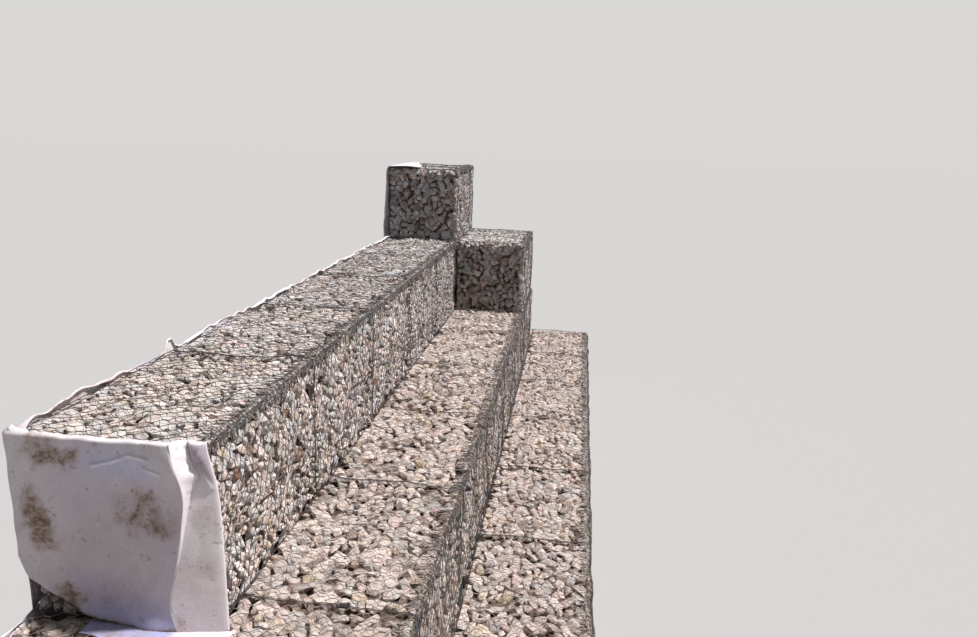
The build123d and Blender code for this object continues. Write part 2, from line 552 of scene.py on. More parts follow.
def layer_stones(patch, sizes, rng, template, radius, cuts, depth, shades, greys):
    """One layer of stones behind a face: their points, faces and colour numbers.

    Depth is how far the layer's tops lie under the face, as a share of the stones' radii, from and to.
    Shades are how light the layer is on the lid and on the front, partly painted light and shade, and
    greys the share of grey stones. A face is darker along its lid's front edge, painted shade under the
    bent-over mesh, and lighter towards its foot, painted bounce light from the bench.
    """
    corners_of, triangles = template
    margin, end_margin = patch.margins
    stretch = sizes.stone_stretch
    width = (patch.width - margin - end_margin) / stretch
    height = patch.height - 2 * FREE_INSET
    middles, radii = settle(width, height, radius, patch_rims(patch), sizes, rng)
    u = margin + middles[:, 0] * stretch
    v = FREE_INSET + middles[:, 1]
    tilt = np.where(v < patch.flat, LID_TILT, FRONT_TILT)
    shape = broken_stones(corners_of, radii, cuts, tilt, rng)
    shape[..., 2] -= shape[..., 2].max(1, keepdims=True)
    point, down, normal = patch.at(u, v)
    kept = ~is_covered(point, normal)
    share = depth[0] + (depth[1] - depth[0]) * rng.beta(*BURIAL_SHAPE, len(radii))
    sink = LEAST_SINK + radii * share
    all_u = np.clip(u[:, None] + shape[..., 0], patch.ends[0], patch.ends[1])
    all_v = np.minimum(v[:, None] + shape[..., 1], patch.lowest)
    surface, _, outward = patch.at(all_u, all_v)
    world = surface + (shape[..., 2] - sink[:, None])[..., None] * outward
    count = int(kept.sum())
    size = len(corners_of)
    faces = (triangles + (np.arange(count) * size)[:, None, None]).reshape(-1, 3)
    if (np.cross(patch.along, down[0]) * normal[0]).sum() < 0:
        faces = faces[:, ::-1]
    upper_lid = (v < patch.flat) & (patch.corner[2] > OVER_BENCH)
    plain = rng.uniform(0, 1, len(u)) * np.where(upper_lid, PLAIN_TONES, 1.0)
    tone = np.where(rng.uniform(size=len(u)) < greys, rng.uniform(*GREY_TONES, len(u)), plain)
    tone = np.repeat(tone[kept], size)
    light = np.where(v < patch.flat, shades[0], shades[1])
    # Painted shade: a darker band along the lid's front edge, under the bent-over mesh.
    light = light - EDGE_SHADE * hill(v, patch.flat - 0.02, EDGE_BAND)
    # Painted bounce light: the front is lighter towards its foot.
    light = light + PAINTED_FOOT_LIGHT * smooth(v - patch.flat, 0.55, 1.0)
    # Each stone's shade number: a random tint plus the painted light and shade above.
    tint_and_painted_light = np.repeat((rng.normal(0, 1, len(u)) + light)[kept], size)
    return world[kept].reshape(-1, 3), [faces], tone, tint_and_painted_light


ROCK = rock_template()
BLOCK = block_template()


def patch_stones(patch, radius, sizes, seed):
    """Stones behind one face: an outer layer, and an inner one that shows in its gaps.

    The upper baskets were filled from a greyer load towards the far end. Their lids are darkest midway
    and lightest at the far end, their fronts darker towards the far end, and their near ends greyer and
    darker, painted shade. The middle course's front is darker, painted shade, and so is the inner layer,
    painted shade in the gaps.
    """
    rng = np.random.default_rng(seed)
    travel = np.clip((patch.corner[0] - TOP.low[0]) / TOP_LENGTH, 0, 1)
    depth = (0.38, 0.75)
    if patch.corner[2] > OVER_BENCH:
        greys = 0.16 + 0.46 * travel
        lid_shade = 1.3 - 0.9 * greys - 1.2 * np.sin(np.pi * travel) + 1.6 * travel ** 2
        shades = np.array([lid_shade, 1.3 - 2.0 * travel])
        depth = (0.22, 0.55)
        # Painted shade: the near ends are greyer and darker.
        if patch.out[0] < 0:
            greys = 0.9
            shades = shades - 0.4
    elif patch.corner[2] > OVER_LOW_BENCH:
        greys = 0.02
        # Painted shade: the middle course's front is darker than its lid.
        shades = np.array([0.5, -0.9])
    else:
        greys = 0.14
        shades = np.array([0.3, 0.2])
    outer = layer_stones(patch, sizes, rng, ROCK, radius, CUTS, OUTER_DEPTH, shades, greys)
    # Painted shade: the inner layer, which shows in the gaps, is made darker.
    inner = layer_stones(
        patch, sizes, rng, BLOCK, INNER_SIZE * sizes.stone_radius, INNER_CUTS, depth,
        0.6 * shades - 1.5, greys)
    return outer, inner


def core_box(low, high):
    """A closed box between two corners."""
    pick = np.array([[i, j, k] for k in (0, 1) for j in (0, 1) for i in (0, 1)])
    points = np.where(pick == 1, high, low)
    return points, [CUBE_SIDES]


def stone_piece(name, patches, box, radius, sizes, seed, warm):
    """One object: the stones of some faces and the dark core of their baskets, a box.

    Warm is the dust's tone, from -1 for cool to 1 for warm.
    """
    parts = []
    tones = []
    shades = []
    for index, patch in enumerate(patches):
        for points, faces, tone, tint_and_painted_light in patch_stones(patch, radius, sizes, seed + 31 * index):
            parts.append((points, faces))
            tones.append(tone)
            shades.append(tint_and_painted_light)
    inset = np.array([0.0, sizes.core_depth, sizes.core_depth])
    lifted = np.array([0.0, 0.0, sizes.core_depth])
    parts.append(core_box(box[0] + inset - lifted, box[1] - inset))
    tones.append(np.zeros(8))
    shades.append(np.zeros(8))
    points, faces = join(parts)
    core_points = len(points) - 8
    is_core = [(group >= core_points).all(1) for group in faces]
    plain = [group[~core] for group, core in zip(faces, is_core)]
    dark = [group[core] for group, core in zip(faces, is_core) if core.any()]
    plain = [group for group in plain if len(group)]
    first_dark = sum(len(group) for group in plain)
    attributes = {
        "tone": np.concatenate(tones), "shade": np.concatenate(shades), "warm": np.full(len(points), warm)}
    return put_mesh(name, points, plain + dark, attributes, first_dark)


# Wires

SELVEDGE = 0.006
WIRE_GAP = 0.004
TUCK = 0.05
EDGE_INSET = 0.005
SECOND_EDGE = 0.022
STEP_ALONG = 0.07
STEP_ACROSS = 0.05
TWIST_GAP = 1.1
MESH_WANDER = 0.004
MESH_STAND = 0.6
LEAST_LIFT = 0.001
LID_PART = 0.6
FRONT_PART = 0.4
OVERLAP_STAND = 1.6
EDGE_SWAY = 0.0035
EDGE_STAND = 0.7
LACE_POINTS = 6


def mesh_wires(patch, sizes):
    """Hexagonal double-twist mesh over a face.

    Each wire runs across the patch in its own lane. It lies along the twist it shares with the wire on
    one side, slants to the twist it shares with the wire on the other side, and so on. Two wires in a
    twist lie a wire's width apart.
    """
    lane = sizes.mesh_lane
    period = 2 * (sizes.mesh_twist + sizes.mesh_slant)
    lanes = int(round((patch.width - 2 * SELVEDGE) / lane))
    pitch = (patch.width - 2 * SELVEDGE) / lanes
    levels = int(np.ceil(patch.height / period)) + 1
    step = np.cumsum([0, sizes.mesh_twist, sizes.mesh_slant, sizes.mesh_twist])
    v = (np.arange(levels)[:, None] * period + step).ravel()
    side = np.tile([-1, -1, 1, 1], levels)
    inside = v < patch.height - WIRE_GAP
    v = np.append(v[inside], patch.height - WIRE_GAP)
    side = np.append(side[inside], side[inside][-1])
    v[0] = WIRE_GAP
    swing = (pitch - TWIST_GAP * sizes.mesh_wire) / 2
    middle = SELVEDGE + (np.arange(lanes)[:, None] + 0.5) * pitch
    parity = np.where(np.arange(lanes) % 2 == 0, 1, -1)[:, None]
    u = middle + parity * side * swing
    v = np.broadcast_to(v, u.shape)
    wander = waves(vectors(u, v, 0.0), 0.30, 21)
    point, _, normal = patch.at(u + MESH_WANDER * wander, v)
    lift = MESH_STAND * sizes.mesh_wire + sizes.mesh_lift * (1 + waves(point, 0.11, 22))
    lift = lift * smooth(v, 0.0, TUCK) * (1 - smooth(v, patch.height - TUCK, patch.height)) + LEAST_LIFT
    return tubes(point + lift[..., None] * normal, normal, sizes.mesh_wire / 2)


def overlap_wires(patch, sizes):
    """The lid's mesh bent over the front's mesh: slanting wires across the rounded edge."""
    lanes = int(round(1.5 * patch.width / sizes.mesh_lane))
    u = (np.arange(lanes)[:, None] + 0.5) * patch.width / lanes
    start = patch.flat - LID_PART * sizes.overlap
    reach = LID_PART * sizes.overlap + patch.arc + FRONT_PART * sizes.overlap
    v = start + np.linspace(0, 1, 6) * reach
    lean = sizes.mesh_lane * (0.30 * np.sin(9.1 * np.arange(lanes)) + 0.5)[:, None]
    u = np.clip(u + lean * np.array([-1, -1, 1, 1, -1, -1]), SELVEDGE, patch.width - SELVEDGE)
    v = np.broadcast_to(v, u.shape)
    point, _, normal = patch.at(u, v)
    return tubes(point + OVERLAP_STAND * sizes.mesh_wire * normal, normal, sizes.mesh_wire / 2)


def edge_line(patch, u, v, sizes, seed):
    """A wavy edge wire along one line of a face."""
    point, _, normal = patch.at(u, v)
    sway = EDGE_SWAY * vectors(*[waves(point, 0.35, seed + k) for k in range(3)])
    path = point + sway + EDGE_STAND * sizes.edge_wire * normal
    return tubes(path[None], normal[None], sizes.edge_wire / 2, 4)


def lacing(patch, u, v, sizes, seed):
    """Lacing wire wound round a line of a face: a helix whose turns vary in length and radius."""
    point, _, normal = patch.at(u, v)
    length = np.concatenate([[0], np.cumsum(np.linalg.norm(np.diff(point, axis=0), axis=-1))])
    turns = length[-1] / sizes.lace_pitch
    steps = max(int(turns * LACE_POINTS), LACE_POINTS)
    along = np.linspace(0, length[-1], steps)
    middle = vectors(*[np.interp(along, length, part) for part in point.T])
    outward = vectors(*[np.interp(along, length, part) for part in normal.T])
    tangent = unit(np.gradient(middle, axis=0))
    side = unit(np.cross(tangent, outward))
    noise = waves(middle, 0.25, seed)
    turn = 2 * np.pi * along / sizes.lace_pitch + 1.4 * noise
    radius = sizes.lace_radius * (1 + 0.25 * waves(middle, 0.12, seed + 1))
    path = middle + radius[:, None] * (np.cos(turn)[:, None] * outward + np.sin(turn)[:, None] * side)
    return tubes(path[None], outward[None], sizes.lace_wire / 2)


def basket_edges(patch, sizes, seed, laced_end):
    """Edge wires round one face and across its rounded edge, and the lacing on them."""
    sides = (EDGE_INSET, patch.width - EDGE_INSET)
    levels = [EDGE_INSET, patch.height - EDGE_INSET]
    steps_u = np.linspace(*sides, int(patch.width / STEP_ALONG))
    steps_v = np.linspace(*levels, int(patch.height / STEP_ACROSS))
    if patch.arc:
        levels.insert(1, patch.flat + patch.arc / 2)
    parts = [edge_line(patch, steps_u, np.full_like(steps_u, v), sizes, seed + k)
             for k, v in enumerate(levels)]
    for k, u in enumerate(sides):
        parts.append(edge_line(patch, np.full_like(steps_v, u), steps_v, sizes, seed + 10 + k))
    for k, v in enumerate(levels[1:-1]):
        parts.append(lacing(patch, steps_u, np.full_like(steps_u, v), sizes, seed + 20 + k))
        parts.append(edge_line(patch, steps_u, np.full_like(steps_u, v + SECOND_EDGE), sizes, seed + 25))
        parts.append(overlap_wires(patch, sizes))
    if laced_end:
        parts.append(lacing(patch, np.full_like(steps_v, patch.width), steps_v, sizes, seed + 30))
    return parts


# Geotextile

def cloth_piece(name, points, sizes, soil_and_shade, wear_and_shade, cool):
    """A sheet through a grid of points of shape (rows, columns, 3), with its thickness.

    The three marks are numbers or grids: how soiled it is, which also carries painted shadow lines; how
    grey, from wear and painted shade; and how bluish the grey, painted sky-lit shade.
    """
    rows, columns = points.shape[:2]
    marks = {"soil_and_shade": soil_and_shade, "wear_and_shade": wear_and_shade, "cool": cool}
    marks = {label: np.broadcast_to(values, (rows, columns)) for label, values in marks.items()}
    piece = put_mesh(name, points.reshape(-1, 3), [grid_faces(rows, columns)], marks, rounded=True)
    thick = piece.modifiers.new("Thickness", "SOLIDIFY")
    thick.thickness = sizes.cloth
    thick.offset = 0.0
    return piece


def cloth_area(points):
    """Area of a grid of points: half the cross product of each quad's diagonals."""
    first = points[1:, 1:] - points[:-1, :-1]
    second = points[1:, :-1] - points[:-1, 1:]
    return float(np.linalg.norm(np.cross(first, second), axis=-1).sum() / 2)


END_X = TOP.low[0]
END_TOP = TOP.high[2]
END_FOOT = TOP.low[2]
CORNER_Y = TOP.low[1]
SHEET_BACK = BACK_FACE + 0.034


def flowing(at, places, values):
    """A smooth curve through measured points: a cubic between each two of them."""
    places = np.array(places, float)
    values = np.array(values, float)
    slopes = np.gradient(values, places)
    at = np.clip(at, places[0], places[-1])
    index = np.clip(np.searchsorted(places, at) - 1, 0, len(places) - 2)
    span = places[index + 1] - places[index]
    t = (at - places[index]) / span
    start = values[index] * (1 + 2 * t) * (1 - t) ** 2 + values[index + 1] * t * t * (3 - 2 * t)
    return start + span * (slopes[index] * t * (1 - t) ** 2 - slopes[index + 1] * t * t * (1 - t))


def crest_across(height):
    """How far behind the front corner the crest of the bright fold lies, at a height over the foot."""
    return CORNER_Y + flowing(
        height, (0.0, 0.16, 0.39, 0.60, 0.81, 0.87, 1.05),
        (0.170, 0.204, 0.150, 0.109, 0.081, 0.090, 0.125))


def crest_stand(height):
    """How far the crest of the fold stands off the end of the wall."""
    return flowing(height, (0.0, 0.35, 0.60, 0.81, 0.94, 1.05), (0.050, 0.051, 0.062, 0.086, 0.108, 0.097))


def fold_root(height):
    """How far behind the front corner the fold starts."""
    return CORNER_Y + flowing(
        height, (0.0, 0.16, 0.47, 0.66, 0.785, 0.83, 0.87, 0.91, 1.03),
        (0.162, 0.196, 0.126, 0.091, 0.061, 0.045, 0.027, 0.045, 0.073))


def root_stand(height):
    """How far the start of the fold stands off the end of the wall."""
    return flowing(height, (0.0, 0.47, 0.66, 0.785, 0.87, 1.05), (0.048, 0.044, 0.028, 0.010, 0.006, 0.006))


def strip_edge(height):
    """The strip's outer border, a little past the corner."""
    return CORNER_Y + flowing(
        height, (0.0, 0.49, 0.63, 0.84, 0.915, 0.98, 1.05),
        (-0.076, -0.070, -0.068, -0.049, -0.033, -0.018, -0.013))


def sheet_foot(y):
    """Lower edge of the end sheet: level, then rounded up to its back edge."""
    return END_FOOT + flowing(
        y - CORNER_Y, (0.0, 0.56, 0.72, 0.83, 0.93, 1.01, 1.045),
        (0.012, 0.018, 0.052, 0.115, 0.175, 0.250, 0.370))


def from_line(y, z, line, width):
    """A bell of height 1 across a line through (y, z) places, which fades past its ends."""
    total = np.zeros_like(y)
    for (first_y, first_z), (next_y, next_z) in zip(line, line[1:]):
        run_y, run_z = next_y - first_y, next_z - first_z
        share = ((y - first_y) * run_y + (z - first_z) * run_z) / (run_y ** 2 + run_z ** 2)
        share = np.clip(share, 0, 1)
        away = np.hypot(y - first_y - share * run_y, z - first_z - share * run_z)
        total = np.maximum(total, hill(away, 0.0, width))
    return total


CREASE_WIDTH = 0.008
CREASE_DEPTH = 0.010
FOOT_SLACK = 0.028
CREASES = [
    [(1.075, 2.873), (0.968, 2.904), (0.860, 2.955), (0.742, 2.954)],
    [(0.771, 2.905), (0.685, 2.891)],
]


def end_sheet_points(columns=88):
    """The end sheet: it hangs over the end of the course, and its lower back corner is cut.

    Across, it runs from the back edge to the crest of the fold, and it leans out towards that crest. Up,
    it runs from its lower edge to the lid's edge, turns over it and ends on the lid. The rows lie closer
    together where the creases are.
    """
    steps = np.concatenate([
        [0.0, 0.006, 0.013], np.linspace(0.03, 0.84, 40), np.linspace(0.85, 0.99, 26),
        np.linspace(1, 2, 6)])
    across, upward = np.meshgrid(np.linspace(0, 1, columns), steps)
    climb = np.minimum(upward, 1)
    over = np.maximum(upward - 1, 0)
    across = across ** 0.9
    low = sheet_foot(SHEET_BACK + (crest_across(0.0) - SHEET_BACK) * across)
    lean = smooth(across, 0.52, 1.0) ** 1.5
    top = END_TOP + 0.005 + 0.044 * lean
    z = low + (top - low) * climb
    height = z - END_FOOT
    y = SHEET_BACK + (crest_across(height) - SHEET_BACK) * across
    stand = 0.020 + (crest_stand(height) - 0.010) * lean
    flat = vectors(0.0, y, z)
    sway = 0.007 * np.abs(waves(flat, 0.55, 41)) + 0.003 * waves(flat, 0.13, 42)
    sway = sway * (1 - smooth(across, 0.88, 1.0))
    creased = sum(from_line(y, z, line, CREASE_WIDTH) for line in CREASES)
    slack = FOOT_SLACK * (1 - smooth(height, 0.0, 0.17)) * (1 - smooth(across, 0.80, 1.0))
    slack = slack * smooth(across, 0.2, 0.5)
    x = END_X - stand - sway - CREASE_DEPTH * creased - slack * (1 - over)
    crumple = waves(flat, 0.10, 43)
    x = x + (0.012 + 0.9 * stand + 0.5 * sway) * over
    z = z - 0.45 * np.maximum(stand - 0.02, 0) * over
    z = z + (0.006 + 0.004 * crumple) * np.sin(np.pi * np.clip(over, 0, 0.8))
    gather = hill(y, SHEET_BACK, 0.13) * over
    z = z + 0.022 * gather * (1 + 0.6 * waves(flat * [1, 3, 1], 0.10, 44))
    return vectors(x, y, z), climb


def spread_marks(points, marks):
    """Soil on the end sheet: each mark is (line, width, strength), and a broad mark's border wanders."""
    drift_y = 0.018 * waves(points, 0.10, 46) + 0.010 * waves(points, 0.035, 47)
    drift_z = 0.030 * waves(points, 0.12, 48) + 0.012 * waves(points, 0.035, 49)
    soil_and_shade = np.zeros(points.shape[:2])
    for line, width, strength in marks:
        loose = min(width / 0.06, 1.0)
        y = points[..., 1] + loose * drift_y
        z = points[..., 2] + loose * drift_z
        soil_and_shade = soil_and_shade + strength * from_line(y, z, line, width)
    return soil_and_shade


def strip_points(columns=46):
    """The corner strip and the fold: flat from its border to the fold's root, then out to the crest.

    At the top it turns over onto the lid.
    """
    steps = np.concatenate([np.linspace(0, 0.70, 44), np.linspace(0.71, 1, 44), np.linspace(1.2, 2, 5)])
    across, upward = np.meshgrid(np.linspace(0, 1, columns), steps)
    over = np.maximum(upward - 1, 0)
    upward = np.minimum(upward, 1)
    height = 0.004 + (END_TOP + 0.032 - END_FOOT) * upward
    flat_share = 0.62
    inner = np.clip(across / flat_share, 0, 1)
    outer = np.clip((across - flat_share) / (1 - flat_share), 0, 1)
    root = fold_root(height)
    edge = strip_edge(height)
    y = edge + (root - edge) * inner + (crest_across(height) - root) * outer
    z = END_FOOT + height + 0.016 * smooth(upward, 0.93, 1.0) * outer
    flat = vectors(0.0, y, z)
    ridge = from_line(y, z, [(0.585, 2.985), (0.535, 2.93), (0.475, 2.80)], 0.012)
    crumple = 0.010 * hill(height, 0.985, 0.035) * np.sin(70 * (y + 0.5 * z)) * np.sin(np.pi * inner)
    wrap = 0.010 * (1 - inner) ** 16
    lean = 0.028 * smooth(height, 0.80, 1.0) * np.sin(np.pi * inner) ** 0.7
    stand = root_stand(height) * inner * (1 - outer) + crest_stand(height) * outer
    ripple = 0.003 * np.abs(waves(flat, 0.25, 51)) * (1 - outer)
    x = END_X - 0.010 + wrap - stand - ripple - lean - 0.007 * ridge - np.abs(crumple)
    z = z + 0.004 * waves(flat * [1, 3, 0], 0.12, 52) * smooth(upward, 0.93, 1.0)
    x = x + (END_X + 0.020 - x) * over
    z = z - (0.012 + 0.028 * outer) * over ** 2
    return vectors(x, y, z), inner, outer, height


def wavy_wall_points(low, high, out_y, columns, rows, seed, swell):
    """An upright sheet on the back of the wall, pressed against the baskets, with soft folds."""
    x, z = np.meshgrid(np.linspace(low[0], high[0], columns), np.linspace(low[2], high[2], rows))
    flat = vectors(x, 0.0, z)
    pillow = 0.45 * np.abs(waves(flat, 0.75, seed)) + 0.2 * waves(flat, 0.22, seed + 1)
    drape = 0.5 * hill(waves(flat * [1.0, 1.0, 0.25], 0.50, seed + 2), 0.0, 0.16)
    y = out_y + 0.004 + swell * np.clip(pillow + drape, 0.0, 1.6)
    return vectors(x, y, z)


# Materials

DEEP_STONE = (0.40, 0.25, 0.20)
SANDY_LOAD = (0.60, 0.53, 0.45)
CHIPPED_STONE = (0.29, 0.18, 0.14)
EDGE_DIRT = (0.055, 0.040, 0.036)
WIRE_DIRT = (0.14, 0.10, 0.085)
SPANGLE_AND_GLINT = (0.60, 0.60, 0.61)
WIRE_DUST = (0.46, 0.38, 0.345)
FELT_MOTTLE = (0.42, 0.33, 0.29)
SOIL_FILM = (0.37, 0.26, 0.19)
DARK_SOIL = (0.10, 0.060, 0.04)
FOOT_SHADE = (0.035, 0.030, 0.045)
SCUFF = (0.17, 0.14, 0.16)
SPECK = (0.15, 0.12, 0.12)


class Value:
    """A number in a shader. Sums and products of it become Math nodes."""

    def __init__(self, look, socket):
        self.look = look
        self.socket = socket

    def maths(self, operation, other, swapped=False):
        first, second = (other, self) if swapped else (self, other)
        return self.look.node("ShaderNodeMath", {"operation": operation}, {0: first, 1: second})

    def __add__(self, other):
        return self.maths("ADD", other)

    def __radd__(self, other):
        return self.maths("ADD", other, True)

    def __sub__(self, other):
        return self.maths("SUBTRACT", other)

    def __rsub__(self, other):
        return self.maths("SUBTRACT", other, True)

    def __mul__(self, other):
        return self.maths("MULTIPLY", other)


class Look:
    """A material or a world under construction."""

    def __init__(self, owner):
        self.owner = owner
        owner.use_nodes = True
        self.tree = owner.node_tree
        self.tree.nodes.clear()

    def node(self, kind, settings=None, sockets=None, output=0):
        """A node of a kind. Settings come first, with a ramp's stops as (place, colour), then sockets."""
        made = self.tree.nodes.new(kind)
        for key, setting in (settings or {}).items():
            if key == "stops":
                ramp = made.color_ramp.elements
                while len(ramp) > 1:
                    ramp.remove(ramp[-1])
                for index, (place_at, colour) in enumerate(setting):
                    stop = ramp[0] if index == 0 else ramp.new(place_at)
                    stop.position = place_at
                    stop.color = (*colour, 1.0)
            else:
                setattr(made, key, setting)
        for key, value in (sockets or {}).items():
            if isinstance(value, Value):
                self.tree.links.new(value.socket, made.inputs[key])
            else:
                made.inputs[key].default_value = value
        return Value(self, made.outputs[output]) if made.outputs else None

    def attribute(self, name):
        return self.node("ShaderNodeAttribute", {"attribute_name": name}, output=2)

    def coordinates(self):
        return self.node("ShaderNodeTexCoord", output=3)

    def noise(self, scale, detail=4.0, roughness=0.55, vector=None):
        sockets = {"Scale": scale, "Detail": detail, "Roughness": roughness}
        sockets["Vector"] = vector or self.coordinates()
        return self.node("ShaderNodeTexNoise", None, sockets)

    def mix(self, factor, first, second, blend="MIX"):
        """A colour between two colours."""
        return self.node("ShaderNodeMix", {"data_type": "RGBA", "blend_type": blend},
                         {0: factor, 6: colour4(first), 7: colour4(second)}, output=2)

    def ramp(self, factor, stops):
        return self.node("ShaderNodeValToRGB", {"stops": stops}, {0: factor})

    def between(self, value, low, high):
        """0 at low, 1 at high and a line between."""
        return self.node("ShaderNodeMapRange", {"clamp": True}, {0: value, 1: low, 2: high, 3: 0.0, 4: 1.0})

    def bump(self, height, distance, strength=1.0):
        return self.node("ShaderNodeBump", None, {"Height": height, "Distance": distance,
                                                  "Strength": strength})

    def coated(self, colour, value, low, high, strength, coat):
        """A colour under a coat: none of it where the value is low, and its full strength where high."""
        return self.mix(self.between(value, low, high) * strength, colour, coat)

    def scaled(self, colour, level):
        """A colour times a number."""
        grey = self.node("ShaderNodeCombineColor", None, {0: level, 1: level, 2: level})
        return self.mix(1.0, colour, grey, "MULTIPLY")

    def finish(self, **sockets):
        """Ends the material in one Principled shader."""
        named = {key.replace("_", " "): value for key, value in sockets.items()}
        shader = self.node("ShaderNodeBsdfPrincipled", None, named)
        self.node("ShaderNodeOutputMaterial", None, {"Surface": shader})
        return self.owner


def colour4(value):
    """A colour with its alpha, or a link as it is."""
    return value if isinstance(value, Value) else (*tuple(value)[:3], 1.0)


def stone_material(colours):
    """Broken quarry stone: each stone has a tone of its own, with mottling, veins, dust and pitting."""
    look = Look(bpy.data.materials.new("broken_stone"))
    cream, grey_stone, pink = colours.stone_cream, colours.stone_grey, colours.stone_pink
    ochre, rust, dark = colours.stone_ochre, colours.stone_rust, colours.stone_dark
    stops = [(0.00, cream), (0.22, cream), (0.30, pink), (0.46, pink), (0.52, grey_stone),
             (0.74, grey_stone), (0.80, cream), (0.925, ochre), (0.95, rust), (0.975, dark), (1.00, dark)]
    tone = look.ramp(look.attribute("tone"), stops)
    shade = look.attribute("shade")
    blotch = look.noise(9.0, 5.0, 0.6)
    grain = look.noise(85.0, 4.0, 0.65)
    vein = look.noise(26.0, 3.0, 0.5)
    chips = look.noise(44.0, 5.0, 0.75)
    colour = look.coated(tone, blotch, 0.52, 0.74, 0.35, ochre)
    warm = look.attribute("warm")
    dust = look.mix(warm, colours.dust, colours.warm_dust)
    dust = look.mix(warm * -1.0, dust, colours.cool_dust)
    colour = look.coated(colour, vein, 0.56, 0.66, 0.28, dust)
    up = look.node("ShaderNodeSeparateXYZ", None, {0: look.node("ShaderNodeNewGeometry", output=1)}, 2)
    dusty = look.between(up, 0.45, 0.98) * look.between(look.noise(14.0), 0.20, 0.60) * 0.70
    colour = look.mix(dusty, colour, dust)
    # Stones made dark by the shade number, mostly the inner layer's painted shade in the gaps, turn brown.
    colour = look.coated(colour, shade, -1.0, -3.0, 0.60, DEEP_STONE)
    load = look.noise(1.3, 2.0, 0.5)
    colour = look.coated(colour, load, 0.52, 0.68, 0.28, SANDY_LOAD)
    pits = look.noise(170.0, 3.0, 0.7)
    colour = look.coated(colour, chips, 0.46, 0.35, 0.70, CHIPPED_STONE)
    colour = look.coated(colour, chips, 0.57, 0.68, 0.40, dust)
    # The shade number sets each stone's lightness: a random tint plus painted light and shade.
    level = 1.02 + shade * 0.115 + (grain - 0.5) * 1.25 + (chips - 0.5) * 0.50 + (pits - 0.5) * 0.90
    colour = look.scaled(colour, level)
    height = grain * 0.7 + pits * 0.3 + vein * 0.8 + chips * 0.9
    return look.finish(
        Base_Color=colour, Roughness=0.80 + grain * 0.15, Specular_IOR_Level=0.30,
        Normal=look.bump(height, 0.013, 0.95))


def core_material(colours):
    """Stone and soil deep in the basket, in shade."""
    look = Look(bpy.data.materials.new("basket_core"))
    lumps = look.noise(13.0, 3.0, 0.6)
    colour = look.mix(look.between(lumps, 0.35, 0.75), colours.core, [3.0 * c for c in colours.core])
    return look.finish(Base_Color=colour, Roughness=0.95, Specular_IOR_Level=0.1,
                       Normal=look.bump(lumps, 0.03, 1.0))


def edge_material(colours):
    """The thicker edge wires and the lacing, dirtier than the mesh."""
    look = Look(bpy.data.materials.new("edge_wire"))
    dirt = look.noise(11.0, 4.0, 0.6)
    dull = [0.55 * c for c in colours.wire]
    colour = look.mix(look.between(dirt, 0.42, 0.62), dull, EDGE_DIRT)
    return look.finish(Base_Color=colour, Metallic=0.25, Roughness=0.55 + dirt * 0.25)


def wire_material(colours):
    """Galvanised wire, dull, with darker and browner stretches, and light flecks: zinc spangle and painted
    glints.
    """
    look = Look(bpy.data.materials.new("galvanised_wire"))
    patches = look.noise(7.0, 4.0, 0.6)
    spangle_and_glint = look.noise(220.0, 2.0, 0.5)
    colour = look.coated(colours.wire, patches, 0.50, 0.75, 0.55, WIRE_DIRT)
    # Light flecks: zinc spangle and painted glints.
    colour = look.coated(colour, spangle_and_glint, 0.50, 0.80, 0.35, SPANGLE_AND_GLINT)
    dusty = look.attribute("dusty") * look.between(look.noise(5.0), 0.30, 0.62)
    colour = look.mix(dusty * 0.85, colour, WIRE_DUST)
    return look.finish(Base_Color=colour, Metallic=0.55 - dusty * 0.4, Roughness=0.36 + patches * 0.25,
                       Normal=look.bump(spangle_and_glint, 0.0004, 0.4))


